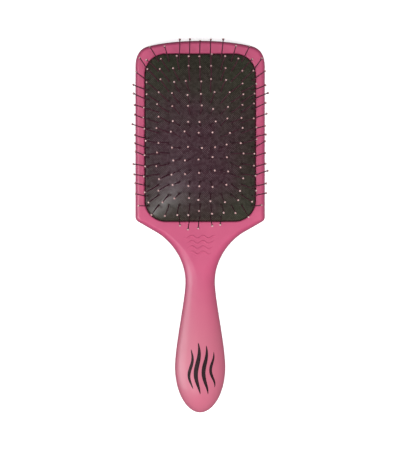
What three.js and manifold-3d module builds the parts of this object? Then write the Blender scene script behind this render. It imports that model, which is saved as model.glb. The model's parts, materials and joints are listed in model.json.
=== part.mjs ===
// A paddle brush: a flat, nearly square head on a waisted handle, with a domed rubber cushion
// that carries rows of ball-tipped pins.
//
// Millimetres. The brush lies on its back: +Z is the way the pins point, +Y runs from the
// handle's end to the head's top edge, and X runs across. The origin is below the middle of the
// brush, on the surface that it lies on.

import * as THREE from 'three';
import { mergeVertices } from 'three/addons/utils/BufferGeometryUtils.js';
import Module from 'manifold-3d';

const wasm = await Module();
wasm.setup();

// The body: two shells that meet on a level seam.
const LENGTH = 255.6;
const HEAD_HALF_WIDTH = 44.5;
const HEAD_THICK = 14;
const SEAM_Z = 7;
const GAP = 0.3; // kept between neighbouring pieces
const WALL = 2.2;
const TOP_Y = LENGTH / 2;
const MORE_THAN_BODY = [2 * HEAD_HALF_WIDTH + 10, LENGTH + 10, 4 * HEAD_THICK];
const OUTLINE_STEPS = {
  crown: 4, crownCorner: 6, side: 3, corner: 3, shoulder: 2, waist: 7, grip: 6, butt: 7,
};

// The waisted handle, measured down from the head's top edge.
const SIDE_START = 18;
const CORNER_START = 120.9;
const CORNER_END = 124.2;
const SHOULDER_END = 132.2;
const NECK_AT = 165.7;
const BULB_AT = 224;
const CORNER_HALF_WIDTH = 42.8;
const SHOULDER_HALF_WIDTH = 28.9;
const NECK_HALF_WIDTH = 10.1;
const BULB_HALF_WIDTH = 17.3;

// What pulls the outline's curves into shape, as (half width, distance from the top edge).
const CROWN_PULL = [20, 0];
const CROWN_END = [35, 3.6];
const CROWN_CORNER_PULL = [[39, 4.6], [HEAD_HALF_WIDTH, 7]];
const CORNER_PULL = [HEAD_HALF_WIDTH, 123.1];
const WAIST_PULL = [[19.4, 138.3], [NECK_HALF_WIDTH, 150.7]];
const GRIP_PULL = [[NECK_HALF_WIDTH, 177.5], [BULB_HALF_WIDTH, 209.2]];
const BUTT_PULL = [[BULB_HALF_WIDTH, 242.6], [8.8, LENGTH]];

// Thickness of the handle, and how far its edges are rounded in.
const NECK_TOP_Z = 14.4;
const BULB_TOP_Z = 17.6;
const NECK_BOTTOM_Z = 1.5;
const HEAD_EDGE = 3.2;
const NECK_EDGE = 9;
const ROUNDING_STEPS = 3;
const LEAST_ROUNDING = 0.8;
const LEAST_LEAN = 0.35;

// The cushion and the opening that it bulges out of.
const PAD_Y = 61;
const OPENING_HALF = new THREE.Vector2(38, 57.4);
const OPENING_CORNER = 14.5;
const CORNER_STEPS = 5;
const CUSHION_CLEARANCE = 0.4;
const DOME_HEIGHT = 7.5;
const DOME_POWER = new THREE.Vector2(2.4, 4);
const DOME_SIDE_STEPS = 14;
const DOME_RINGS = [0, 0.18, 0.5, 1];
const RUBBER = 1.2;
const FLANGE_WIDTH = 2.2;
const FLANGE_TOP_Z = HEAD_THICK - WALL - GAP;
const FLANGE_THICK = 1.5;

// The frame that clamps the cushion's flange up against the front shell, and its posts.
const CLAMP_THICK = 2.2;
const CLAMP_IN = 1;
const CLAMP_OUT = 2.6;
const POST_RADIUS = 1.7;
const POST_SIDES = 10;
const POST_SPREAD = new THREE.Vector2(38.8, 36);

// The pins: eleven columns of fifteen, in three lengths of five along each column.
const COLUMNS_EACH_SIDE = 5;
const COLUMN_PITCH = 7.1;
const PINS_PER_COLUMN = 15;
const PIN_GROUPS = ['lower', 'middle', 'upper'];
const FIELD_HALF_LENGTHS = [53.7, 53.7, 53.7, 49.2, 49.2, 46]; // of each column, from the middle one
const FIELD_SHIFTS = [0, 0, 0, 2.8, 2.8, -0.7];
const PIN_LENGTH = 17;
const PIN_ROOT_RADIUS = 0.42;
const PIN_NECK_RADIUS = 0.34;
const BALL_RADIUS = 0.72;
const BALL_START = 0.8 * BALL_RADIUS;
const PIN_SIDES = 5;
const LEAN_ACROSS = 9;
const LEAN_ALONG = 7.3;
const LEAN_GROWTH = 1.2;
const END_GROWTH = 2.3; // the end rows fan out less in the middle columns
const END_EASE = 0.35; // and a little less in every column
const END_LEAN = 4; // further up, at the head's top edge
const MIDDLE_LEAN = 1.5;
const EDGE_LIFT = 2.3; // the edge columns all lean up a little
const EDGE_FAN = 3.4;
const WANDER = new THREE.Vector2(1.2, 1.6);
const STRIP_WIDTH = 1.6;
const STRIP_THICK = 0.9;
const STRIP_END = 0.8;
const ROOT_DEPTH = 1.95;

const pinkPlastic = new THREE.MeshStandardMaterial({ color: 0xd06785, roughness: 0.45 });
const backPlastic = new THREE.MeshStandardMaterial({ color: 0xca6080, roughness: 0.45 });
const blackRubber = new THREE.MeshStandardMaterial({ color: 0x332c30, roughness: 0.6 });
const clampPlastic = new THREE.MeshStandardMaterial({ color: 0x2a2a2c, roughness: 0.5 });
const blackNylon = new THREE.MeshStandardMaterial({ color: 0x241a1f, roughness: 0.35 });

// ---------------------------------------------------------------- solids

function solidOf(geometry) {
  const bare = geometry.clone();
  bare.deleteAttribute('normal');
  bare.deleteAttribute('uv');
  const merged = mergeVertices(bare, 1e-4);
  const mesh = new wasm.Mesh({
    numProp: 3,
    vertProperties: new Float32Array(merged.attributes.position.array),
    triVerts: new Uint32Array(merged.index.array),
  });
  return new wasm.Manifold(mesh);
}

function meshOf(name, solid, material) {
  const { vertProperties, triVerts } = solid.getMesh();
  const geometry = new THREE.BufferGeometry();
  geometry.setAttribute('position', new THREE.BufferAttribute(vertProperties, 3));
  geometry.setIndex(new THREE.BufferAttribute(triVerts, 1));
  geometry.computeVertexNormals();
  const mesh = new THREE.Mesh(geometry, material);
  mesh.name = name;
  return mesh;
}

// A closed surface from rings of equal length, each counterclockwise from above and higher than
// the one before. The first and the last ring lie on a middle line, where their two halves meet.
function solidOfRings(rings) {
  const count = rings[0].length;
  const at = (ring, i) => ring * count + (i % count);
  const corners = [];
  for (let ring = 0; ring + 1 < rings.length; ring += 1) {
    for (let i = 0; i < count; i += 1) {
      corners.push(at(ring, i), at(ring, i + 1), at(ring + 1, i + 1));
      corners.push(at(ring, i), at(ring + 1, i + 1), at(ring + 1, i));
    }
  }
  const geometry = new THREE.BufferGeometry().setFromPoints(rings.flat());
  geometry.setIndex(corners);
  const merged = mergeVertices(geometry, 1e-4);
  const index = merged.index.array;
  const kept = [];
  for (let i = 0; i < index.length; i += 3) {
    const [a, b, c] = index.slice(i, i + 3);
    if (a !== b && b !== c && c !== a) kept.push(a, b, c);
  }
  merged.setIndex(kept);
  return solidOf(merged);
}

function boxSolid(width, depth, height, x, y, z) {
  return solidOf(new THREE.BoxGeometry(width, depth, height).translate(x, y, z));
}

function roundedRectangle(half, corner, Path = THREE.Shape) {
  const path = new Path();
  const x = half.x - corner;
  const y = half.y - corner;
  const quarter = Math.PI / 2;
  path.moveTo(0, half.y);
  path.absarc(-x, y, corner, quarter, 2 * quarter);
  path.absarc(-x, -y, corner, 2 * quarter, 3 * quarter);
  path.absarc(x, -y, corner, 3 * quarter, 4 * quarter);
  path.absarc(x, y, corner, 0, quarter);
  path.closePath();
  return path;
}

function plate(shape, lowZ, highZ) {
  const settings = { depth: highZ - lowZ, bevelEnabled: false, curveSegments: CORNER_STEPS };
  return solidOf(new THREE.ExtrudeGeometry(shape, settings).translate(0, PAD_Y, lowZ));
}

// ---------------------------------------------------------------- the body's form

// One side of the outline, from the head's top centre to the butt of the handle, as
// (half width, distance from the top edge).
function sideOutline() {
  const place = (point) => new THREE.Vector2(...point);
  const curve = (...points) => new THREE.CubicBezierCurve(...points.map(place));
  const bend = (...points) => new THREE.QuadraticBezierCurve(...points.map(place));
  const line = (...points) => new THREE.LineCurve(...points.map(place));
  const top = [0, 0];
  const sideStart = [HEAD_HALF_WIDTH, SIDE_START];
  const cornerStart = [HEAD_HALF_WIDTH, CORNER_START];
  const cornerEnd = [CORNER_HALF_WIDTH, CORNER_END];
  const shoulderEnd = [SHOULDER_HALF_WIDTH, SHOULDER_END];
  const neck = [NECK_HALF_WIDTH, NECK_AT];
  const bulb = [BULB_HALF_WIDTH, BULB_AT];
  const butt = [0, LENGTH];
  const stretches = [
    [bend(top, CROWN_PULL, CROWN_END), OUTLINE_STEPS.crown],
    [curve(CROWN_END, ...CROWN_CORNER_PULL, sideStart), OUTLINE_STEPS.crownCorner],
    [line(sideStart, cornerStart), OUTLINE_STEPS.side],
    [bend(cornerStart, CORNER_PULL, cornerEnd), OUTLINE_STEPS.corner],
    [line(cornerEnd, shoulderEnd), OUTLINE_STEPS.shoulder],
    [curve(shoulderEnd, ...WAIST_PULL, neck), OUTLINE_STEPS.waist],
    [curve(neck, ...GRIP_PULL, bulb), OUTLINE_STEPS.grip],
    [curve(bulb, ...BUTT_PULL, butt), OUTLINE_STEPS.butt],
  ];
  const side = [place(top)];
  for (const [stretch, steps] of stretches) side.push(...stretch.getPoints(steps).slice(1));
  return side;
}

// A whole loop from its right side, from top to bottom. It runs counterclockwise from the top.
function mirrored(side) {
  const left = side.map((p) => new THREE.Vector2(-p.x, p.y));
  return [...left, ...side.slice(1, -1).reverse()];
}

function outline() {
  return mirrored(sideOutline().map((p) => new THREE.Vector2(p.x, TOP_Y - p.y)));
}

// A value along the brush that is one thing on the head, another at the neck, another at the bulb.
function along(y, head, neck, bulb) {
  const distance = TOP_Y - y;
  const toNeck = THREE.MathUtils.smoothstep(distance, CORNER_END, NECK_AT);
  const toBulb = THREE.MathUtils.smoothstep(distance, NECK_AT, BULB_AT);
  return head + (neck - head) * toNeck + (bulb - neck) * toBulb;
}

// The body's middle line, which every edge is rounded in towards.
function middleOf(point) {
  const highest = TOP_Y - HEAD_HALF_WIDTH;
  const lowest = BULB_HALF_WIDTH - TOP_Y;
  return new THREE.Vector2(0, THREE.MathUtils.clamp(point.y, lowest, highest));
}

// The solid body, or with an inset, the same form with that much taken off all round.
function bodySolid(inset) {
  const loop = outline();
  const count = loop.length;
  const inward = loop.map((point, i) => {
    const before = loop[(i + count - 1) % count];
    const after = loop[(i + 1) % count];
    const normal = new THREE.Vector2(before.y - after.y, after.x - before.x).normalize();
    const towards = middleOf(point).sub(point);
    const reach = towards.length();
    towards.normalize();
    return { towards, reach, lean: Math.max(LEAST_LEAN, Math.abs(normal.dot(towards))) };
  });
  const ring = (share, height) =>
    loop.map((point, i) => {
      const { towards, reach, lean } = inward[i];
      const edge = Math.min(along(point.y, HEAD_EDGE, NECK_EDGE, BULB_HALF_WIDTH), reach * lean);
      const soft = Math.max(edge - inset, LEAST_ROUNDING);
      const travel = share > 1 ? reach : Math.min((inset + soft * share) / lean, reach);
      const place = point.clone().addScaledVector(towards, travel);
      return new THREE.Vector3(place.x, place.y, height(place.y));
    });
  const roof = (y) => along(y, HEAD_THICK, NECK_TOP_Z, BULB_TOP_Z) - inset;
  const floor = (y) => along(y, 0, NECK_BOTTOM_Z, 0) + inset;
  const rings = [ring(2, floor)];
  for (let step = -ROUNDING_STEPS; step <= ROUNDING_STEPS; step += 1) {
    const angle = (Math.PI / 2) * (step / ROUNDING_STEPS);
    const end = step > 0 ? roof : floor;
    const height = (y) => SEAM_Z + (end(y) - SEAM_Z) * Math.abs(Math.sin(angle));
    rings.push(ring(1 - Math.cos(angle), height));
  }
  rings.push(ring(2, roof));
  return solidOfRings(rings);
}

// ---------------------------------------------------------------- the cushion's form

function domeHeight(x, y) {
  const across = Math.min(Math.abs(x) / OPENING_HALF.x, 1) ** DOME_POWER.x;
  const length = Math.min(Math.abs(y - PAD_Y) / OPENING_HALF.y, 1) ** DOME_POWER.y;
  return HEAD_THICK + DOME_HEIGHT * (1 - across) * (1 - length);
}

// A domed block standing on baseZ, with its sides brought in and its top lowered.
function domeBlock(inset, baseZ) {
  const half = OPENING_HALF.clone().subScalar(CUSHION_CLEARANCE + inset);
  const corner = OPENING_CORNER - CUSHION_CLEARANCE - inset;
  const side = new THREE.Path([new THREE.Vector2(0, half.y)]);
  side.absarc(half.x - corner, half.y - corner, corner, Math.PI / 2, 0, true);
  side.absarc(half.x - corner, corner - half.y, corner, 0, -Math.PI / 2, true);
  side.lineTo(0, -half.y);
  const loop = mirrored(side.getSpacedPoints(DOME_SIDE_STEPS));
  const spineEnd = half.y - half.x;
  const ring = (share, height) =>
    loop.map((point) => {
      const spine = new THREE.Vector2(0, THREE.MathUtils.clamp(point.y, -spineEnd, spineEnd));
      const place = point.clone().lerp(spine, share);
      const y = place.y + PAD_Y;
      return new THREE.Vector3(place.x, y, height(place.x, y));
    });
  const base = () => baseZ;
  const roof = (x, y) => domeHeight(x, y) - inset;
  return solidOfRings([ring(1, base), ring(0, base), ...DOME_RINGS.map((share) => ring(share, roof))]);
}

// ---------------------------------------------------------------- the pins' places

// A number from -1 to 1 that looks random and is the same every time.
function wander(column, row, axis) {
  const wave = Math.sin(column * 12.9898 + row * 78.233 + axis * 37.719) * 43758.5453;
  return 2 * (wave - Math.floor(wave)) - 1;
}

// Where a pin comes out of the rubber, and the way it points. Columns run from -5 to 5.
function pinPlace(column, row) {
  const fromMiddle = Math.abs(column);
  const rowShare = (2 * row) / (PINS_PER_COLUMN - 1) - 1;
  const distance = FIELD_HALF_LENGTHS[fromMiddle] * rowShare;
  const x = COLUMN_PITCH * column;
  const y = PAD_Y + FIELD_SHIFTS[fromMiddle] + distance;
  const lengthShare = distance / FIELD_HALF_LENGTHS[0];
  const widthShare = column / COLUMNS_EACH_SIDE;
  const outward = Math.abs(widthShare) ** (LEAN_GROWTH + END_GROWTH * lengthShare ** 4);
  const eased = 1 - END_EASE * rowShare ** 8;
  const across = LEAN_ACROSS * Math.sin((Math.PI / 2) * outward) * Math.sign(column) * eased;
  const atTop = END_LEAN * (1 - widthShare ** 2) * Math.max(0, lengthShare) ** 6;
  const inField = LEAN_ALONG * lengthShare + MIDDLE_LEAN * (1 - lengthShare ** 2) + atTop;
  const atEdge = EDGE_LIFT + EDGE_FAN * rowShare ** 7;
  const upward = fromMiddle === COLUMNS_EACH_SIDE ? atEdge : inField;
  const leanX = across + WANDER.x * wander(column, row, 0);
  const leanY = upward + WANDER.y * wander(column, row, 1);
  const rise = Math.sqrt(PIN_LENGTH ** 2 - leanX ** 2 - leanY ** 2);
  const way = new THREE.Vector3(leanX, leanY, rise).divideScalar(PIN_LENGTH);
  return { foot: new THREE.Vector3(x, y, domeHeight(x, y)), way };
}

function rootOf({ foot, way }) {
  return foot.clone().addScaledVector(way, -ROOT_DEPTH / way.z);
}

// ---------------------------------------------------------------- the pieces

function makeFrontShell(body, cavity) {
  const upper = boxSolid(...MORE_THAN_BODY, 0, 0, SEAM_Z + GAP / 2 + MORE_THAN_BODY[2] / 2);
  const opening = plate(roundedRectangle(OPENING_HALF, OPENING_CORNER), SEAM_Z, 2 * HEAD_THICK);
  return body.subtract(cavity).intersect(upper).subtract(opening);
}

function makeBackShell(body, cavity) {
  const lower = boxSolid(...MORE_THAN_BODY, 0, 0, SEAM_Z - GAP / 2 - MORE_THAN_BODY[2] / 2);
  let shell = body.subtract(cavity).intersect(lower);
  const low = WALL / 2;
  const high = FLANGE_TOP_Z - FLANGE_THICK - CLAMP_THICK - 2 * GAP;
  for (const sideX of [-1, 1]) {
    for (const step of [-1, 0, 1]) {
      const post = new THREE.CylinderGeometry(POST_RADIUS, POST_RADIUS, high - low, POST_SIDES);
      post.rotateX(Math.PI / 2);
      post.translate(sideX * POST_SPREAD.x, PAD_Y + step * POST_SPREAD.y, (low + high) / 2);
      shell = shell.add(solidOf(post));
    }
  }
  return shell;
}

function makeClampFrame() {
  const outer = roundedRectangle(OPENING_HALF.clone().addScalar(CLAMP_OUT), OPENING_CORNER + CLAMP_OUT);
  const inner = OPENING_HALF.clone().subScalar(CLAMP_IN);
  outer.holes.push(roundedRectangle(inner, OPENING_CORNER - CLAMP_IN, THREE.Path));
  const high = FLANGE_TOP_Z - FLANGE_THICK - GAP;
  return plate(outer, high - CLAMP_THICK, high);
}

function slotFor(column) {
  const places = Array.from({ length: PINS_PER_COLUMN }, (_, row) => pinPlace(column, row));
  const roots = places.map(rootOf);
  const reach = STRIP_WIDTH / 2 + GAP;
  const lowX = Math.min(places[0].foot.x - PIN_ROOT_RADIUS, ...roots.map((r) => r.x - reach)) - GAP;
  const highX = Math.max(places[0].foot.x + PIN_ROOT_RADIUS, ...roots.map((r) => r.x + reach)) + GAP;
  const lowY = Math.min(places[0].foot.y - PIN_ROOT_RADIUS, roots[0].y - STRIP_END) - GAP;
  const highY = Math.max(places.at(-1).foot.y + PIN_ROOT_RADIUS, roots.at(-1).y + STRIP_END) + GAP;
  const height = HEAD_THICK + 2 * DOME_HEIGHT - FLANGE_TOP_Z;
  const middle = [(lowX + highX) / 2, (lowY + highY) / 2, FLANGE_TOP_Z + height / 2];
  return boxSolid(highX - lowX, highY - lowY, height, ...middle);
}

function makeCushion() {
  const low = FLANGE_TOP_Z - FLANGE_THICK;
  const flangeOut = OPENING_HALF.clone().addScalar(FLANGE_WIDTH);
  const flange = plate(roundedRectangle(flangeOut, OPENING_CORNER + FLANGE_WIDTH), low, FLANGE_TOP_Z);
  let cushion = domeBlock(0, low).add(flange).subtract(domeBlock(RUBBER, low - 1));
  for (let column = -COLUMNS_EACH_SIDE; column <= COLUMNS_EACH_SIDE; column += 1) {
    cushion = cushion.subtract(slotFor(column));
  }
  return cushion;
}

function makePin(place) {
  const root = rootOf(place);
  const length = PIN_LENGTH + root.distanceTo(place.foot);
  const profile = [
    [0, 0],
    [PIN_ROOT_RADIUS, 0],
    [PIN_NECK_RADIUS, length - BALL_START],
    [BALL_RADIUS, length],
    [0, length + BALL_RADIUS],
  ].map((p) => new THREE.Vector2(...p));
  const pin = new THREE.LatheGeometry(profile, PIN_SIDES);
  pin.applyQuaternion(new THREE.Quaternion().setFromUnitVectors(new THREE.Vector3(0, 1, 0), place.way));
  return solidOf(pin.translate(...root));
}

// The heads of a few neighbouring pins, as one strip that follows the inside of the rubber.
function makeStrip(roots) {
  const x = roots.reduce((sum, root) => sum + root.x, 0) / roots.length;
  const line = roots.map((root) => new THREE.Vector2(root.y, root.z));
  line[0].x -= STRIP_END;
  line.at(-1).x += STRIP_END;
  const half = STRIP_THICK / 2;
  const upper = line.map((p) => new THREE.Vector2(p.x, p.y + half));
  const lower = line.map((p) => new THREE.Vector2(p.x, p.y - half));
  const side = new THREE.Shape([...lower, ...upper.reverse()]);
  const strip = new THREE.ExtrudeGeometry(side, { depth: STRIP_WIDTH, bevelEnabled: false });
  strip.rotateX(Math.PI / 2).rotateZ(Math.PI / 2);
  return solidOf(strip.translate(x - STRIP_WIDTH / 2, 0, 0));
}

function makePins(column, group) {
  const perGroup = PINS_PER_COLUMN / PIN_GROUPS.length;
  const rows = Array.from({ length: perGroup }, (_, i) => group * perGroup + i);
  const places = rows.map((row) => pinPlace(column, row));
  const pins = places.map(makePin);
  return pins.reduce((joined, pin) => joined.add(pin), makeStrip(places.map(rootOf)));
}

const brush = new THREE.Group();
const body = bodySolid(0);
const cavity = bodySolid(WALL);
brush.add(meshOf('front_shell', makeFrontShell(body, cavity), pinkPlastic));
brush.add(meshOf('back_shell', makeBackShell(body, cavity), backPlastic));
brush.add(meshOf('clamp_frame', makeClampFrame(), clampPlastic));
brush.add(meshOf('cushion_pad', makeCushion(), blackRubber));
for (let column = -COLUMNS_EACH_SIDE; column <= COLUMNS_EACH_SIDE; column += 1) {
  const number = String(column + COLUMNS_EACH_SIDE + 1).padStart(2, '0');
  PIN_GROUPS.forEach((group, i) => {
    brush.add(meshOf(`pins_${number}_${group}`, makePins(column, i), blackNylon));
  });
}

export default brush;
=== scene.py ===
import json
import math

import bmesh
import bpy
import numpy as np
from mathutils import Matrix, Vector
from mathutils.bvhtree import BVHTree


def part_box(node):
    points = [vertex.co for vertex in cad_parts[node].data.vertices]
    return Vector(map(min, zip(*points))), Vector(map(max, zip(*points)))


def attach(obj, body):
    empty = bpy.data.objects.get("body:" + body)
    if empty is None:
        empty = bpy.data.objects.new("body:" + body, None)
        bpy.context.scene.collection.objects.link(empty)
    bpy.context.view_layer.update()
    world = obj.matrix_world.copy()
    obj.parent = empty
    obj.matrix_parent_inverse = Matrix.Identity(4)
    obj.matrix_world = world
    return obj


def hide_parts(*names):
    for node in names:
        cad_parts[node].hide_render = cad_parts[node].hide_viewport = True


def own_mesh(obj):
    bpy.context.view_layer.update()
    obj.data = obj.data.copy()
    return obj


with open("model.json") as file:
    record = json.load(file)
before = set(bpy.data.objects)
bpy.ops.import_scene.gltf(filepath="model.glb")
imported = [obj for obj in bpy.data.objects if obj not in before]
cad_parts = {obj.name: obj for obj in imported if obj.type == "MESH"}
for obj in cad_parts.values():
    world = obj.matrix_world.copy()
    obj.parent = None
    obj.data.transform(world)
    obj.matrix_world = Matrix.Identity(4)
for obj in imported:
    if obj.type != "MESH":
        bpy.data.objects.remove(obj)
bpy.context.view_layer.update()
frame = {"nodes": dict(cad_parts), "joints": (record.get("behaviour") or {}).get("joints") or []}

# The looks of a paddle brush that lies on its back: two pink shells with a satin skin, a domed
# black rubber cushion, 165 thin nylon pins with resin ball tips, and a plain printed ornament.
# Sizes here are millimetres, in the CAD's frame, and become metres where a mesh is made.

MM = 0.001
HEAD_BODY = "handle_and_head"
PIN_BODY = "pin_field"


def box_mm(node):
    low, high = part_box(node)
    return low / MM, high / MM


FRONT_LOW, FRONT_HIGH = box_mm("front_shell")
PAD_LOW, PAD_HIGH = box_mm("cushion_pad")
CLAMP_LOW, CLAMP_HIGH = box_mm("clamp_frame")

# The body: two shells that meet on a level seam.
GAP = 0.3
WALL = 2.2
TOP_Y = FRONT_HIGH.y
LENGTH = FRONT_HIGH.y - FRONT_LOW.y
HEAD_HALF_WIDTH = FRONT_HIGH.x
SEAM_Z = FRONT_LOW.z - GAP / 2
FLANGE_THICK = 1.5
FLANGE_WIDTH = 2.2
FLANGE_TOP_Z = PAD_LOW.z + FLANGE_THICK
HEAD_THICK = FLANGE_TOP_Z + GAP + WALL
SEAM_LIP = 0.3

# The outline, measured down from the head's top edge, and what pulls its curves into shape.
SIDE_START = 18
CORNER_START = 120.9
CORNER_END = 124.2
SHOULDER_END = 132.2
NECK_AT = 165.7
BULB_AT = 224
CORNER_HALF_WIDTH = 42.8
SHOULDER_HALF_WIDTH = 28.9
NECK_HALF_WIDTH = 10.1
BULB_HALF_WIDTH = 17.3
CROWN_PULL = (20, 0)
CROWN_END = (35, 3.6)
CROWN_CORNER_PULL = [(39, 4.6), (HEAD_HALF_WIDTH, 7)]
CORNER_PULL = (HEAD_HALF_WIDTH, 123.1)
WAIST_PULL = [(19.4, 138.3), (NECK_HALF_WIDTH, 150.7)]
GRIP_PULL = [(NECK_HALF_WIDTH, 177.5), (BULB_HALF_WIDTH, 209.2)]
BUTT_PULL = [(BULB_HALF_WIDTH, 242.6), (8.8, LENGTH)]

# Thickness of the handle, and how far its edges are rounded in.
NECK_TOP_Z = 14.4
BULB_TOP_Z = FRONT_HIGH.z
NECK_BOTTOM_Z = 1.5
HEAD_EDGE = 3.2
NECK_EDGE = 9
LEAST_ROUNDING = 0.8
LEAST_LEAN = 0.35
OUTER_STEPS = 16
INNER_STEPS = 6
LIP_STEPS = 4
FACE_SHARES = (0.35, 0.7, 1)

# The opening in the face, and the cushion that bulges out of it.
CLAMP_OUT = 2.6
PAD_Y = (CLAMP_LOW.y + CLAMP_HIGH.y) / 2
OPENING_HALF = np.array([CLAMP_HIGH.x - CLAMP_OUT, CLAMP_HIGH.y - PAD_Y - CLAMP_OUT])
OPENING_CORNER = 14.5
OPENING_LIP = 1.1
LIP_SWEEP = math.radians(78)
CUTTER_MARGIN = 0.1
CUTTER_RISE = 0.06
CORNER_STEPS = 20
SIDE_STEPS = (28, 44)
CUSHION_CLEARANCE = 0.4
DOME_HEIGHT = 7.5
DOME_POWER = (2.4, 4)
SLOPE_STEP = 0.05
RIM_ROUNDING = 1.4
RIM_STEPS = 8
RUBBER = 1.2
DOME_RINGS = 34
FLANGE_FILLET = 0.4
FLANGE_CHAMFER = 0.3
INSIDE_SHRINK = 0.4
INSIDE_DROP = 0.2

# The pins: eleven columns of fifteen, in three lengths of five along each column.
COLUMNS_EACH_SIDE = 5
COLUMNS = range(-COLUMNS_EACH_SIDE, COLUMNS_EACH_SIDE + 1)
COLUMN_PITCH = 7.1
PINS_PER_COLUMN = 15
PIN_GROUPS = ("lower", "middle", "upper")
FIELD_HALF_LENGTHS = (53.7, 53.7, 53.7, 49.2, 49.2, 46)  # of each column, from the middle one
FIELD_SHIFTS = (0, 0, 0, 2.8, 2.8, -0.7)
PIN_LENGTH = 17
PIN_ROOT_RADIUS = 0.42
PIN_NECK_RADIUS = 0.34
PIN_HEAD_RADIUS = 0.95
PIN_HEAD_FOOT_RADIUS = 0.7
PIN_HEAD_THICK = 0.45
PIN_HEAD_SIDE = 0.3
ROOT_FILLET = (0.15, 0.1)  # (distance above the head, added radius)
FOOT_FLARE = (0.3, 0.03)
BALL_START = 1.3  # of the ball's radius, below its middle
BALL_RADIUS = 0.8
CAP_RADIUS = 0.85
CAP_REACH = math.radians(44)
CAP_DEPTH = 0.15
LEAN_ACROSS = 9
LEAN_ALONG = 7.3
LEAN_GROWTH = 1.2
END_GROWTH = 2.3
END_EASE = 0.35
END_LEAN = 4
MIDDLE_LEAN = 1.5
EDGE_LIFT = 2.3
EDGE_FAN = 3.4
WANDER = (1.2, 1.6)
PIN_BOW = 0.35
ROOT_DEPTH = 1.95
SHAFT_SIDES = 10
TIP_SIDES = 12
COLLAR_SIDES = 14
COLLAR_TOP = [(0, 1.2), (0.16, 1.02), (0.22, 0.78), (0.12, 0.56)]  # (distance up, radius)
COLLAR_FOOT = -0.4
COLLAR_INSIDE = 0.5


# ---------------------------------------------------------------- meshes

SHARP_ANGLE = 35
RUBBER_SHARP_ANGLE = 50
PIN_SHARP_ANGLE = 60
MERGE_WITHIN = 0.0005


def ring_faces(rings, count):
    faces = []
    for ring in range(rings - 1):
        for i in range(count):
            after = (i + 1) % count
            low, high = ring * count, (ring + 1) * count
            faces.append((low + i, low + after, high + after, high + i))
    return faces


def mesh_piece(name, parts, sharp=SHARP_ANGLE):
    """An object from (vertices in millimetres, faces) parts, with doubled points merged."""
    vertices, faces = [], []
    for part_vertices, part_faces in parts:
        start = sum(len(v) for v in vertices)
        vertices.append(np.asarray(part_vertices, float))
        faces += [tuple(start + i for i in face) for face in part_faces]
    mesh = bpy.data.meshes.new(name)
    mesh.from_pydata(np.vstack(vertices) * MM, [], faces)
    form = bmesh.new()
    form.from_mesh(mesh)
    bmesh.ops.remove_doubles(form, verts=form.verts, dist=MERGE_WITHIN * MM)
    bmesh.ops.recalc_face_normals(form, faces=form.faces)
    form.to_mesh(mesh)
    form.free()
    piece = bpy.data.objects.new(name, mesh)
    bpy.context.scene.collection.objects.link(piece)
    smooth(piece, sharp)
    return piece


def smooth(piece, sharp):
    piece.data.shade_smooth()
    piece.data.set_sharp_from_angle(angle=math.radians(sharp))


def apply_modifiers(piece):
    depsgraph = bpy.context.evaluated_depsgraph_get()
    mesh = bpy.data.meshes.new_from_object(piece.evaluated_get(depsgraph))
    piece.modifiers.clear()
    piece.data = mesh


def cut(piece, cutter):
    modifier = piece.modifiers.new("cut", "BOOLEAN")
    modifier.operation = "DIFFERENCE"
    modifier.solver = "EXACT"
    modifier.object = cutter
    apply_modifiers(piece)
    bpy.data.objects.remove(cutter)


def even_normals(piece):
    modifier = piece.modifiers.new("even", "WEIGHTED_NORMAL")
    modifier.keep_sharp = True


# ---------------------------------------------------------------- the body's form

def bezier(points, steps):
    """Points along a Bezier curve of any degree, without its first one."""
    share = np.linspace(0, 1, steps + 1)[1:, None]
    level = [np.array(point, float) for point in points]
    while len(level) > 1:
        level = [a + (b - a) * share for a, b in zip(level, level[1:])]
    return level[0]


def outline():
    """The brush's outline as (x, y) points, counterclockwise from the middle of its top."""
    top, butt = (0, 0), (0, LENGTH)
    side_start = (HEAD_HALF_WIDTH, SIDE_START)
    corner_start = (HEAD_HALF_WIDTH, CORNER_START)
    corner_end = (CORNER_HALF_WIDTH, CORNER_END)
    shoulder_end = (SHOULDER_HALF_WIDTH, SHOULDER_END)
    neck = (NECK_HALF_WIDTH, NECK_AT)
    bulb = (BULB_HALF_WIDTH, BULB_AT)
    stretches = [
        ([top, CROWN_PULL, CROWN_END], 22),
        ([CROWN_END, *CROWN_CORNER_PULL, side_start], 30),
        ([side_start, corner_start], 40),
        ([corner_start, CORNER_PULL, corner_end], 10),
        ([corner_end, shoulder_end], 10),
        ([shoulder_end, *WAIST_PULL, neck], 36),
        ([neck, *GRIP_PULL, bulb], 32),
        ([bulb, *BUTT_PULL, butt], 44),
    ]
    side = np.vstack([[top], *[bezier(points, steps) for points, steps in stretches]])
    right = np.column_stack([side[:, 0], TOP_Y - side[:, 1]])
    left = right * (-1, 1)
    return np.vstack([left, right[-2:0:-1]])


def along(y, head, neck, bulb):
    """A value that is one thing on the head, another at the neck, another at the bulb."""
    def step(low, high):
        share = np.clip((TOP_Y - y - low) / (high - low), 0, 1)
        return share * share * (3 - 2 * share)
    return head + (neck - head) * step(CORNER_END, NECK_AT) + (bulb - neck) * step(NECK_AT, BULB_AT)


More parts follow.
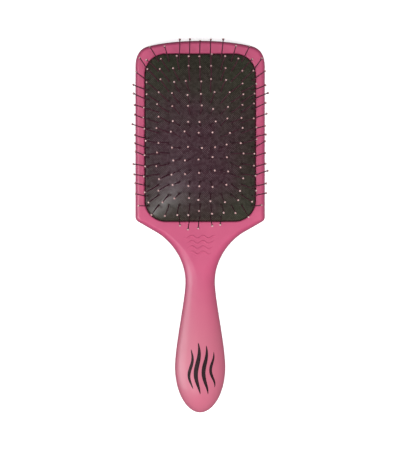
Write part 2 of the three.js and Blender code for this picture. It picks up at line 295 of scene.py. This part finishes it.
LOOP = outline()
LOWEST_MIDDLE = TOP_Y - LENGTH + BULB_HALF_WIDTH
HIGHEST_MIDDLE = TOP_Y - HEAD_HALF_WIDTH
MIDDLE = np.column_stack([0 * LOOP[:, 0], np.clip(LOOP[:, 1], LOWEST_MIDDLE, HIGHEST_MIDDLE)])
REACH = np.linalg.norm(MIDDLE - LOOP, axis=1)
TOWARDS = (MIDDLE - LOOP) / REACH[:, None]
TANGENT = np.roll(LOOP, -1, axis=0) - np.roll(LOOP, 1, axis=0)
OUTWARD = np.column_stack([TANGENT[:, 1], -TANGENT[:, 0]])
NORMAL = OUTWARD / np.linalg.norm(TANGENT, axis=1)[:, None]
LEAN = np.maximum(LEAST_LEAN, np.abs((NORMAL * TOWARDS).sum(axis=1)))
EDGE = np.minimum(along(LOOP[:, 1], HEAD_EDGE, NECK_EDGE, BULB_HALF_WIDTH), REACH * LEAN)


def body_ring(inward, height):
    """The outline brought in by a distance, at a height that depends on y."""
    place = LOOP + TOWARDS * np.minimum(inward / LEAN, REACH)[:, None]
    return np.column_stack([place, height(place[:, 1])])


def shell_rings(side):
    """One half of the body as a wall of even thickness; side is 1 in front and -1 at the back."""
    seam = SEAM_Z + side * GAP / 2
    ends = (HEAD_THICK, NECK_TOP_Z, BULB_TOP_Z) if side > 0 else (0, NECK_BOTTOM_Z, 0)

    def height(share, inset):
        return lambda y: seam + (along(y, *ends) - side * inset - seam) * share

    rings = [body_ring(REACH * LEAN, height(1, WALL))]
    inner_edge = np.maximum(EDGE - WALL, LEAST_ROUNDING)
    for angle in np.linspace(math.pi / 2, 0, INNER_STEPS):
        inward = WALL + inner_edge * (1 - math.cos(angle))
        rings.append(body_ring(inward, height(math.sin(angle), WALL)))
    for angle in np.linspace(0, math.pi / 2, LIP_STEPS):
        lip = seam + side * SEAM_LIP * (1 - math.cos(angle))
        rings.append(body_ring(SEAM_LIP * (1 - math.sin(angle)), lambda y, lip=lip: lip + 0 * y))
    for angle in np.linspace(0, math.pi / 2, OUTER_STEPS + 1)[1:]:
        rings.append(body_ring(EDGE * (1 - math.cos(angle)), height(math.sin(angle), 0)))
    for share in FACE_SHARES:
        rings.append(body_ring(EDGE + (REACH * LEAN - EDGE) * share, height(1, 0)))
    return rings


def shell(name, side):
    rings = shell_rings(side)
    return mesh_piece(name, [(np.vstack(rings), ring_faces(len(rings), len(LOOP)))])


# ---------------------------------------------------------------- the cushion's form

def pad_loop(grown):
    """The opening's rounded rectangle, grown by a distance, about the middle of the pad."""
    half = OPENING_HALF - OPENING_CORNER
    centres = half * np.array([(1, 1), (-1, 1), (-1, -1), (1, -1)])
    arcs = []
    for quarter, centre in enumerate(centres):
        angle = (quarter + np.linspace(0, 1, CORNER_STEPS)) * math.pi / 2
        around = np.column_stack([np.cos(angle), np.sin(angle)])
        arcs.append(centre + (OPENING_CORNER + grown) * around)
    loop = []
    for quarter, arc in enumerate(arcs):
        following = arcs[(quarter + 1) % 4][0]
        share = np.linspace(0, 1, SIDE_STEPS[quarter % 2])[1:-1, None]
        loop += [arc, arc[-1] + (following - arc[-1]) * share]
    return np.vstack(loop)


def dome_height(x, y):
    across = np.minimum(np.abs(x) / OPENING_HALF[0], 1) ** DOME_POWER[0]
    length = np.minimum(np.abs(y - PAD_Y) / OPENING_HALF[1], 1) ** DOME_POWER[1]
    return HEAD_THICK + DOME_HEIGHT * (1 - across) * (1 - length)


def ceiling_height(x, y):
    """The height of the air chamber's ceiling, under the rubber."""
    return dome_height(x, y) - RUBBER - INSIDE_DROP


def pad_ring(grown, height, share=0):
    """A loop of the pad, moved by a share of the way to its spine, at a height or on the dome."""
    loop = pad_loop(grown)
    spine_end = OPENING_HALF[1] - OPENING_HALF[0]
    spine = np.column_stack([0 * loop[:, 0], np.clip(loop[:, 1], -spine_end, spine_end)])
    place = loop + (spine - loop) * share
    x, y = place[:, 0], place[:, 1] + PAD_Y
    return np.column_stack([x, y, height(x, y) if callable(height) else height + 0 * x])


def opening_cutter():
    """The opening's solid, flared at the face so that it leaves a rounded lip."""
    rings = [pad_ring(0, FLANGE_TOP_Z - WALL)]
    for angle in np.linspace(0, LIP_SWEEP, 6):
        flare = OPENING_LIP * (1 - math.cos(angle))
        rings.append(pad_ring(flare, HEAD_THICK - OPENING_LIP * (1 - math.sin(angle))))
    rings.append(pad_ring(OPENING_LIP + CUTTER_MARGIN, HEAD_THICK + CUTTER_RISE))
    rings.append(pad_ring(OPENING_LIP + CUTTER_MARGIN, HEAD_THICK + WALL))
    count = len(rings[0])
    ends = [tuple(range(count)), tuple(range((len(rings) - 1) * count, len(rings) * count))]
    faces = ring_faces(len(rings), count) + ends
    return mesh_piece("opening_cutter", [(np.vstack(rings), faces)])


def dome_rings():
    """The cushion's skin from the top of its dome, round its flange and back up inside."""
    wall = -CUSHION_CLEARANCE
    inside = wall - RUBBER
    rim = wall - RIM_ROUNDING
    flange_foot = FLANGE_TOP_Z - FLANGE_THICK
    rings = [pad_ring(rim, dome_height, share) for share in np.linspace(1, 0, DOME_RINGS)]
    for angle in np.linspace(math.pi / 2, 0, RIM_STEPS)[1:]:
        drop = RIM_ROUNDING * (1 - math.sin(angle))
        inward = RIM_ROUNDING * (1 - math.cos(angle))
        rings.append(pad_ring(wall - inward, lambda x, y, drop=drop: dome_height(x, y) - drop))
    rings.append(pad_ring(wall, FLANGE_TOP_Z + FLANGE_FILLET))
    rings.append(pad_ring(wall + FLANGE_FILLET, FLANGE_TOP_Z))
    rings.append(pad_ring(FLANGE_WIDTH - FLANGE_CHAMFER, FLANGE_TOP_Z))
    rings.append(pad_ring(FLANGE_WIDTH, FLANGE_TOP_Z - FLANGE_CHAMFER))
    rings.append(pad_ring(FLANGE_WIDTH, flange_foot))
    rings.append(pad_ring(inside, flange_foot))
    for share in np.linspace(0, 1, DOME_RINGS // 3):
        rings.append(pad_ring(inside - INSIDE_SHRINK, ceiling_height, share))
    return rings


def dome_normal(x, y):
    slope_x = (dome_height(x + SLOPE_STEP, y) - dome_height(x - SLOPE_STEP, y)) / (2 * SLOPE_STEP)
    slope_y = (dome_height(x, y + SLOPE_STEP) - dome_height(x, y - SLOPE_STEP)) / (2 * SLOPE_STEP)
    normal = np.array([-slope_x, -slope_y, 1.0])
    return normal / np.linalg.norm(normal)


# ---------------------------------------------------------------- the pins' places

def wander(column, row, axis):
    """A number from -1 to 1 that looks random and is the same every time."""
    wave = math.sin(column * 12.9898 + row * 78.233 + axis * 37.719) * 43758.5453
    return 2 * (wave - math.floor(wave)) - 1


def pin_place(column, row):
    """Where a pin comes out of the rubber, and the way it points. Columns run from -5 to 5."""
    from_middle = abs(column)
    row_share = 2 * row / (PINS_PER_COLUMN - 1) - 1
    distance = FIELD_HALF_LENGTHS[from_middle] * row_share
    x = COLUMN_PITCH * column
    y = PAD_Y + FIELD_SHIFTS[from_middle] + distance
    length_share = distance / FIELD_HALF_LENGTHS[0]
    width_share = column / COLUMNS_EACH_SIDE
    outward = abs(width_share) ** (LEAN_GROWTH + END_GROWTH * length_share**4)
    eased = 1 - END_EASE * row_share**8
    across = LEAN_ACROSS * math.sin(math.pi / 2 * outward) * np.sign(column) * eased
    at_top = END_LEAN * (1 - width_share**2) * max(0, length_share) ** 6
    in_field = LEAN_ALONG * length_share + MIDDLE_LEAN * (1 - length_share**2) + at_top
    at_edge = EDGE_LIFT + EDGE_FAN * row_share**7
    upward = at_edge if from_middle == COLUMNS_EACH_SIDE else in_field
    lean_x = across + WANDER[0] * wander(column, row, 0)
    lean_y = upward + WANDER[1] * wander(column, row, 1)
    rise = math.sqrt(PIN_LENGTH**2 - lean_x**2 - lean_y**2)
    way = np.array([lean_x, lean_y, rise]) / PIN_LENGTH
    return np.array([x, y, dome_height(x, y)]), way


def lathe(profile, foot, way, sides, bow=None):
    """A closed turned form from (distance along, radius) steps, which end on the axis or meet."""
    first = np.cross(way, (0, 1, 0))
    first /= np.linalg.norm(first)
    second = np.cross(way, first)
    angle = np.linspace(0, 2 * math.pi, sides, endpoint=False)[:, None]
    around = np.cos(angle) * first + np.sin(angle) * second
    rings = []
    for distance, radius in profile:
        centre = foot + way * distance
        if bow is not None:
            share = min(max(distance / PIN_LENGTH, 0), 1)
            centre = centre + bow * 4 * share * (1 - share)
        rings.append(centre + around * radius)
    return np.vstack(rings), ring_faces(len(rings), sides)


def collar(column, row):
    """The small raised ring of rubber round a pin's foot."""
    foot, _ = pin_place(column, row)
    outside = (COLLAR_FOOT, COLLAR_TOP[0][1])
    profile = [outside, *COLLAR_TOP, (COLLAR_FOOT, COLLAR_INSIDE), outside]
    return lathe(profile, foot, dome_normal(foot[0], foot[1]), COLLAR_SIDES)


def pin_shaft(column, row):
    """A pin from the head under the rubber, up a tapering shaft, to the ball at its end."""
    foot, way = pin_place(column, row)
    root = -ROOT_DEPTH / way[2]
    head_foot = root - PIN_HEAD_THICK
    profile = [
        (head_foot, 0),
        (head_foot, PIN_HEAD_FOOT_RADIUS),
        (root - PIN_HEAD_SIDE, PIN_HEAD_RADIUS),
        (root, PIN_HEAD_RADIUS),
        (root + ROOT_FILLET[0], PIN_ROOT_RADIUS + ROOT_FILLET[1]),
        (FOOT_FLARE[0], PIN_ROOT_RADIUS + FOOT_FLARE[1]),
    ]
    neck = PIN_LENGTH - BALL_START * BALL_RADIUS
    for share in np.linspace(0.06, 1, 9):
        radius = PIN_ROOT_RADIUS + (PIN_NECK_RADIUS - PIN_ROOT_RADIUS) * share
        profile.append((neck * share, radius))
    for angle in np.radians(np.linspace(-45, 90, 8)):
        profile.append((PIN_LENGTH + BALL_RADIUS * math.sin(angle), BALL_RADIUS * math.cos(angle)))
    return lathe(profile, foot, way, SHAFT_SIDES, pin_bow(column, row, way))


def pin_bow(column, row, way):
    """How far the middle of a pin stands out sideways."""
    bow = PIN_BOW * np.array([wander(column, row, 2), wander(column, row, 3), 0])
    return bow - way * (bow @ way)


def ball_tip(column, row):
    """The drop of resin on the end of a pin's ball."""
    foot, way = pin_place(column, row)
    inside = BALL_RADIUS - CAP_DEPTH
    low = PIN_LENGTH + inside * math.cos(CAP_REACH)
    profile = [(low, 0), (low, inside * math.sin(CAP_REACH))]
    for angle in np.linspace(CAP_REACH, 0, 7):
        profile.append((PIN_LENGTH + CAP_RADIUS * math.cos(angle), CAP_RADIUS * math.sin(angle)))
    return lathe(profile, foot, way, TIP_SIDES)


# ---------------------------------------------------------------- the ornament

# Each strand's x, upper end, length and half width; each wave's y and half length.
STRANDS = [
    (-6.2, -83.5, 27, 1.0),
    (-1.6, -79, 35, 1.45),
    (3.6, -81, 33, 1.3),
    (8.4, -85.5, 24, 0.9),
]
STRAND_SWAY = 1.7
STRAND_TIP = 0.08
INK_THICK = 0.07
WAVES = [(-7.1, 11), (-10.7, 9.9), (-14.3, 8.7), (-17.9, 7.4)]
WAVE_SWAY = 0.95
WAVE_LENGTH = 7.6
WAVE_HALF_WIDTH = 0.62
WAVE_RISE = 0.34
RAY_START_Z = 0.1


def height_finder(piece):
    """A function that gives the height of a piece's upper surface at (x, y), in millimetres."""
    points = [v.co.copy() for v in piece.data.vertices]
    tree = BVHTree.FromPolygons(points, [tuple(p.vertices) for p in piece.data.polygons])

    def height(x, y):
        hit = tree.ray_cast(Vector((x * MM, y * MM, RAY_START_Z)), Vector((0, 0, -1)))[0]
        return hit.z / MM
    return height


def stroke(path, half_width, rise, height, across=9, sunk=0.06):
    """A closed strip along a path on a surface, thin and tapered as the path's arrays say."""
    tangent = np.gradient(path, axis=0)
    tangent /= np.linalg.norm(tangent, axis=1)[:, None]
    sideways = np.column_stack([-tangent[:, 1], tangent[:, 0]])
    upper, lower = [], []
    for place, side, half, proud in zip(path, sideways, half_width, rise):
        for share in np.linspace(-1, 1, across):
            x, y = place + side * half * share
            z = height(x, y)
            crown = proud * math.sqrt(max(0, 1 - share * share))
            upper.append((x, y, z + crown))
            lower.append((x, y, z - sunk))
    count = len(path)
    total = count * across
    faces = []
    for i in range(count - 1):
        for k in range(across - 1):
            a = i * across + k
            quad = (a, a + across, a + across + 1, a + 1)
            faces.append(quad)
            faces.append(tuple(total + v for v in reversed(quad)))
    border = list(range(across))
    border += [i * across + across - 1 for i in range(1, count)]
    border += [(count - 1) * across + k for k in range(across - 2, -1, -1)]
    border += [i * across for i in range(count - 2, 0, -1)]
    for a, b in zip(border, border[1:] + border[:1]):
        faces.append((a, b, total + b, total + a))
    return np.array(upper + lower), faces


def handle_print(height):
    """Four flowing strands of hair, printed along the grip."""
    share = np.linspace(0, 1, 64)
    parts = []
    for strand, (x, top, length, width) in enumerate(STRANDS):
        swing = np.sin(2 * math.pi * (1.15 * share + 0.06 * strand))
        sway = STRAND_SWAY * swing * (0.5 + 0.5 * share)
        path = np.column_stack([x + sway, top - length * share])
        taper = np.sin(math.pi * share) ** 0.7
        parts.append(stroke(path, STRAND_TIP + width * taper, INK_THICK + 0 * share, height))
    return mesh_piece("handle_print", parts)


def neck_emblem(height):
    """Four raised waves, moulded on the shoulder above the grip."""
    share = np.linspace(0, 1, 60)
    parts = []
    for y, half_length in WAVES:
        x = half_length * (2 * share - 1)
        path = np.column_stack([x, y + WAVE_SWAY * np.sin(2 * math.pi * x / WAVE_LENGTH)])
        taper = np.minimum(1, 6 * np.minimum(share, 1 - share) + 0.15)
        parts.append(stroke(path, WAVE_HALF_WIDTH * taper, WAVE_RISE * taper, height))
    return mesh_piece("neck_emblem", parts)


# ---------------------------------------------------------------- materials

SKIN_ROUGHNESS = 0.4
# The third pink of each set is a painted sheen: a paler pink that stands in for the lights' white
# sheen on the grip. The grip turns fully to it below the first y of the pair after these, and not
# at all above the second.
FRONT_PINKS = ((0.45, 0.069, 0.153), (0.51, 0.086, 0.175), (0.49, 0.127, 0.19))
BACK_PINKS = ((0.46, 0.066, 0.147), (0.52, 0.084, 0.17), (0.5, 0.108, 0.18))
GRIP_SHEEN_Y = (-78, -28)
NET_PITCH = 1.0
# The spot that the rubber's plum tint spreads round, and how far the tint reaches.
PLUM_TINT_X = -8
PLUM_TINT_Y = 49
PLUM_TINT_RADIUS = 60


class Finish:
    """A node material on the Principled shader, fed by noise in the piece's own coordinates."""

    def __init__(self, name, **sockets):
        self.material = bpy.data.materials.new(name)
        self.material.use_nodes = True
        self.tree = self.material.node_tree
        self.tree.nodes.clear()
        self.shader = self.tree.nodes.new("ShaderNodeBsdfPrincipled")
        output = self.tree.nodes.new("ShaderNodeOutputMaterial")
        self.join(self.shader.outputs["BSDF"], output.inputs["Surface"])
        for socket, value in sockets.items():
            self.shader.inputs[socket.replace("_", " ")].default_value = value
        self.place = self.tree.nodes.new("ShaderNodeTexCoord").outputs["Object"]

    def join(self, output, target):
        self.tree.links.new(output, target)

    def coordinate(self, axis):
        node = self.tree.nodes.new("ShaderNodeSeparateXYZ")
        self.join(self.place, node.inputs["Vector"])
        return node.outputs[axis]

    def centred(self, x, y, radius):
        """1 at a place on the piece, falling to 0 at a radius round it."""
        across = self.mathed("SUBTRACT", self.coordinate("X"), x)
        length = self.mathed("SUBTRACT", self.coordinate("Y"), y)
        squares = [self.mathed("MULTIPLY", way, way) for way in (across, length)]
        distance = self.mathed("SQRT", self.mathed("ADD", *squares), 0)
        return self.range(distance, 1, 0, 0, radius)

    def mapped(self, stretch=(1, 1, 1), turn=0):
        node = self.tree.nodes.new("ShaderNodeMapping")
        node.inputs["Scale"].default_value = stretch
        node.inputs["Rotation"].default_value = (0, 0, turn)
        self.join(self.place, node.inputs["Vector"])
        return node.outputs["Vector"]

    def noise(self, size_mm, detail=2, stretch=(1, 1, 1)):
        """Noise whose lumps are about size_mm across."""
        node = self.tree.nodes.new("ShaderNodeTexNoise")
        node.inputs["Scale"].default_value = 1 / (size_mm * MM)
        node.inputs["Detail"].default_value = detail
        self.join(self.mapped(stretch), node.inputs["Vector"])
        return node.outputs["Fac"]

    def bands(self, pitch_mm, turn):
        """Parallel stripes, turned about Z."""
        node = self.tree.nodes.new("ShaderNodeTexWave")
        node.inputs["Scale"].default_value = 0.314 / (pitch_mm * MM)
        self.join(self.mapped(turn=turn), node.inputs["Vector"])
        return node.outputs["Fac"]

    def mathed(self, operation, a, b):
        node = self.tree.nodes.new("ShaderNodeMath")
        node.operation = operation
        for socket, value in zip(node.inputs, (a, b)):
            if isinstance(value, (int, float)):
                socket.default_value = value
            else:
                self.join(value, socket)
        return node.outputs["Value"]

    def range(self, value, low, high, start=0.3, end=0.7):
        """The value stretched so that start to end becomes low to high."""
        node = self.tree.nodes.new("ShaderNodeMapRange")
        limits = {"From Min": start, "From Max": end, "To Min": low, "To Max": high}
        for socket, number in limits.items():
            node.inputs[socket].default_value = number
        self.join(value, node.inputs["Value"])
        return node.outputs["Result"]

    def mix(self, share, first, second):
        node = self.tree.nodes.new("ShaderNodeMix")
        node.data_type = "RGBA"
        self.join(share, node.inputs["Factor"])
        for socket, colour in zip(("A", "B"), (first, second)):
            target = next(i for i in node.inputs if i.name == socket and i.type == "RGBA")
            if isinstance(colour, tuple):
                target.default_value = (*colour, 1)
            else:
                self.join(colour, target)
        return next(o for o in node.outputs if o.type == "RGBA")

    def bump(self, height, depth_mm, strength=1.0, under=None):
        node = self.tree.nodes.new("ShaderNodeBump")
        node.inputs["Distance"].default_value = depth_mm * MM
        node.inputs["Strength"].default_value = strength
        self.join(height, node.inputs["Height"])
        if under is not None:
            self.join(under, node.inputs["Normal"])
        return node.outputs["Normal"]

    def feed(self, socket, output):
        self.join(output, self.shader.inputs[socket])


def pink_plastic(name, deep, pale, grip_sheen_pink):
    """Moulded plastic with a soft skin: cloudy in tone, finely grained, and paler on the grip,
    where that paleness is a painted sheen.
    """
    finish = Finish(name, Specular_IOR_Level=0.35)
    cloud = finish.range(finish.noise(24, 3), 0, 1)
    # Painted sheen: a share that brings in the paler grip pink towards the butt.
    grip = finish.range(finish.coordinate("Y"), 1, 0, GRIP_SHEEN_Y[0] * MM, GRIP_SHEEN_Y[1] * MM)
    finish.feed("Base Color", finish.mix(grip, finish.mix(cloud, deep, pale), grip_sheen_pink))
    streaks = finish.noise(2.2, 4, (1, 0.12, 1))
    finish.feed("Roughness", finish.range(streaks, SKIN_ROUGHNESS - 0.05, SKIN_ROUGHNESS + 0.06))
    grain = finish.bump(finish.noise(0.45, 2), 0.02, 0.5)
    finish.feed("Normal", finish.bump(finish.noise(7, 1), 0.05, 0.4, grain))
    return finish.material


def rubber_skin():
    """Black rubber with a fine diamond net pressed into it, tinted plum about a spot near its
    middle and olive-dark further out.
    """
    finish = Finish("cushion_rubber", Specular_IOR_Level=0.3)
    slants = [finish.bands(NET_PITCH, math.radians(turn)) for turn in (45, -45)]
    net = finish.mathed("MULTIPLY", *slants)
    # A plum tint about a spot near the middle, with a noisy edge, turning olive-dark further out.
    middle = finish.centred(PLUM_TINT_X * MM, PLUM_TINT_Y * MM, PLUM_TINT_RADIUS * MM)
    plum_spread = finish.mathed("ADD", finish.noise(22, 4), middle)
    plum = finish.range(plum_spread, 0, 1, 0.45, 1.2)
    tone = finish.mix(plum, (0.026, 0.027, 0.017), (0.036, 0.0125, 0.019))
    thread = finish.mix(plum, (0.066, 0.064, 0.045), (0.125, 0.082, 0.094))
    worn = finish.mathed("MULTIPLY", net, finish.range(finish.noise(2.2, 4), 0.4, 1.7, 0.4, 0.62))
    finish.feed("Base Color", finish.mix(finish.range(worn, 0, 0.8, 0.2, 1), tone, thread))
    finish.feed("Roughness", finish.range(finish.noise(3, 3), 0.22, 0.3))
    grain = finish.bump(finish.noise(0.5, 2), 0.03, 0.5)
    finish.feed("Normal", finish.bump(net, 0.08, 0.6, grain))
    return finish.material


def pin_nylon():
    """Dark nylon, drawn lengthwise, with a wine tinge here and there."""
    finish = Finish("pin_nylon", Specular_IOR_Level=0.5)
    wine = finish.mix(finish.noise(1.5, 2), (0.045, 0.015, 0.024), (0.092, 0.024, 0.04))
    finish.feed("Base Color", wine)
    finish.feed("Roughness", finish.range(finish.noise(0.6, 2, (1, 1, 0.2)), 0.28, 0.42))
    finish.feed("Normal", finish.bump(finish.noise(0.3, 1, (1, 1, 0.2)), 0.01, 0.4))
    return finish.material


def tip_resin():
    """Salmon resin that was dipped on, a little different from ball to ball."""
    finish = Finish("ball_tip_resin", Coat_Weight=0.4, Coat_Roughness=0.12, Roughness=0.3)
    lot = finish.range(finish.noise(6, 1), 0, 1)
    finish.feed("Base Color", finish.mix(lot, (0.5, 0.29, 0.275), (0.64, 0.43, 0.41)))
    finish.feed("Normal", finish.bump(finish.noise(0.5, 1), 0.02, 0.3))
    return finish.material


def clamp_plastic():
    """Matt black plastic, which the shells hide."""
    finish = Finish("clamp_plastic", Specular_IOR_Level=0.4)
    black = finish.mix(finish.noise(5, 3), (0.014, 0.014, 0.015), (0.03, 0.03, 0.032))
    finish.feed("Base Color", black)
    finish.feed("Roughness", finish.range(finish.noise(1.2, 3), 0.45, 0.6))
    finish.feed("Normal", finish.bump(finish.noise(0.4, 2), 0.02, 0.5))
    return finish.material


def print_ink():
    """Screen-printed ink: near black with a wine cast, thinner here and there."""
    finish = Finish("print_ink", Specular_IOR_Level=0.08)
    cover = finish.range(finish.noise(1.6, 4), 0, 1)
    finish.feed("Base Color", finish.mix(cover, (0.012, 0.007, 0.008), (0.034, 0.018, 0.022)))
    finish.feed("Roughness", finish.range(finish.noise(0.8, 3), 0.4, 0.55))
    finish.feed("Normal", finish.bump(finish.noise(0.35, 2), 0.015, 0.4))
    return finish.material


def dress(piece, material, body):
    piece.data.materials.clear()
    piece.data.materials.append(material)
    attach(piece, body)


# ---------------------------------------------------------------- the pieces

def make_shells():
    front = shell("front_moulding", 1)
    cut(front, opening_cutter())
    smooth(front, SHARP_ANGLE)
    back = shell("back_moulding", -1)
    for piece, node in ((front, "front_shell"), (back, "back_shell")):
        even_normals(piece)
        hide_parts(node)
    pink = pink_plastic("shell_front", *FRONT_PINKS)
    dress(front, pink, HEAD_BODY)
    dress(back, pink_plastic("shell_back", *BACK_PINKS), HEAD_BODY)
    return front, pink


def make_ornament(front, pink):
    height = height_finder(front)
    ink = handle_print(height)
    dress(ink, print_ink(), HEAD_BODY)
    emblem = neck_emblem(height)
    dress(emblem, pink, HEAD_BODY)


def make_cushion():
    rings = dome_rings()
    parts = [(np.vstack(rings), ring_faces(len(rings), len(rings[0])))]
    for column in COLUMNS:
        parts += [collar(column, row) for row in range(PINS_PER_COLUMN)]
    cushion = mesh_piece("rubber_cushion", parts, RUBBER_SHARP_ANGLE)
    dress(cushion, rubber_skin(), HEAD_BODY)
    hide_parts("cushion_pad")
    height = PAD_HIGH.z - FLANGE_TOP_Z
    keep = (height - press_depth()) / height
    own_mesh(cushion)


def press_depth():
    """How far the pins can be pressed in."""
    joint = next(joint for joint in frame["joints"] if joint["name"] == "cushion_press")
    return -min(joint["range_m"]) / MM


def make_pins():
    nylon, resin = pin_nylon(), tip_resin()
    per_group = PINS_PER_COLUMN // len(PIN_GROUPS)
    for column in COLUMNS:
        number = f"{column + COLUMNS_EACH_SIDE + 1:02d}"
        for index, group in enumerate(PIN_GROUPS):
            rows = range(index * per_group, (index + 1) * per_group)
            parts = [pin_shaft(column, row) for row in rows]
            shafts = mesh_piece(f"pin_shafts_{number}_{group}", parts, PIN_SHARP_ANGLE)
            dress(shafts, nylon, PIN_BODY)
            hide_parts(f"pins_{number}_{group}")
        parts = [ball_tip(column, row) for row in range(PINS_PER_COLUMN)]
        tips = mesh_piece(f"ball_tips_{number}", parts, PIN_SHARP_ANGLE)
        dress(tips, resin, PIN_BODY)


def finish_clamp():
    clamp = frame["nodes"]["clamp_frame"]
    clamp.data.materials.clear()
    clamp.data.materials.append(clamp_plastic())


# ---------------------------------------------------------------- the studio

CAMERA_HEIGHT = 0.95
CAMERA_AT = (-0.1 * MM, 1.2 * MM, HEAD_THICK * MM + CAMERA_HEIGHT)
VIEW_WIDTH = 0.2752
SENSOR_WIDTH = 36
BRUSH_MIDDLE = (0, -0.05, 0)
LEFT_AT = (-0.8, -0.15, 0.25)
PATCH_AT = (-0.37, -0.27, 0.91)
PATCH_AIM = (-0.027, 0.015, 0.017)
SIDE_SIZE = (0.4, 0.9)
WORLD_COLOUR = (0.9, 0.88, 0.92, 1)
WORLD_STRENGTH = 0.18
FLOOR_SIZE = 6
FLOOR_Z = -0.05 * MM
FLOOR_GLOW = 0.5


def make_camera():
    data = bpy.data.cameras.new("camera")
    data.sensor_fit = "HORIZONTAL"
    data.sensor_width = SENSOR_WIDTH
    data.lens = SENSOR_WIDTH * (CAMERA_HEIGHT + (HEAD_THICK - SEAM_Z) * MM) / VIEW_WIDTH
    camera = bpy.data.objects.new("camera", data)
    camera.location = CAMERA_AT
    bpy.context.scene.collection.objects.link(camera)
    bpy.context.scene.camera = camera


def area_light(name, place, aim, size, power, glossy=True, diffuse=True):
    data = bpy.data.lights.new(name, "AREA")
    data.shape = "RECTANGLE"
    data.size, data.size_y = size
    data.energy = power
    light = bpy.data.objects.new(name, data)
    light.location = place
    light.rotation_euler = (Vector(aim) - Vector(place)).to_track_quat("-Z", "Y").to_euler()
    light.visible_glossy = glossy
    light.visible_diffuse = diffuse
    bpy.context.scene.collection.objects.link(light)


def make_lights():
    area_light("key", (-0.6, -0.5, 0.75), (0, -0.02, 0), (0.5, 0.7), 5.6, glossy=False)
    area_light("overhead", (0, 0.1, 1.5), (0, 0, 0), (1.2, 1.2), 9.9, glossy=False)
    area_light("right", (0.7, -0.45, 0.9), BRUSH_MIDDLE, (0.5, 0.9), 9.5, glossy=False)
    area_light("left", LEFT_AT, BRUSH_MIDDLE, SIDE_SIZE, 2.3, glossy=False)
    area_light("left_gloss", LEFT_AT, BRUSH_MIDDLE, SIDE_SIZE, 12.5, diffuse=False)
    area_light("patch", PATCH_AT, PATCH_AIM, (0.1, 0.1), 2.7, diffuse=False)
    world = bpy.data.worlds.new("studio")
    world.use_nodes = True
    background = world.node_tree.nodes["Background"]
    background.inputs["Color"].default_value = WORLD_COLOUR
    background.inputs["Strength"].default_value = WORLD_STRENGTH
    bpy.context.scene.world = world
    bpy.context.scene.view_settings.view_transform = "Standard"


def make_floor():
    """A pale floor that glows a little, so that it stays white round the brush."""
    bpy.ops.mesh.primitive_plane_add(size=FLOOR_SIZE, location=(0, 0, FLOOR_Z))
    floor = bpy.context.object
    floor.name = "floor"
    finish = Finish("floor", Base_Color=(0.9, 0.9, 0.9, 1), Roughness=0.9)
    finish.shader.inputs["Emission Color"].default_value = (1, 1, 1, 1)
    finish.shader.inputs["Emission Strength"].default_value = FLOOR_GLOW
    finish.feed("Normal", finish.bump(finish.noise(3, 2), 0.02, 0.1))
    floor.data.materials.append(finish.material)
    floor.visible_diffuse = False
    floor.visible_glossy = False


make_camera()
make_lights()
make_floor()
front_moulding, front_pink = make_shells()
make_ornament(front_moulding, front_pink)
make_cushion()
make_pins()
finish_clamp()
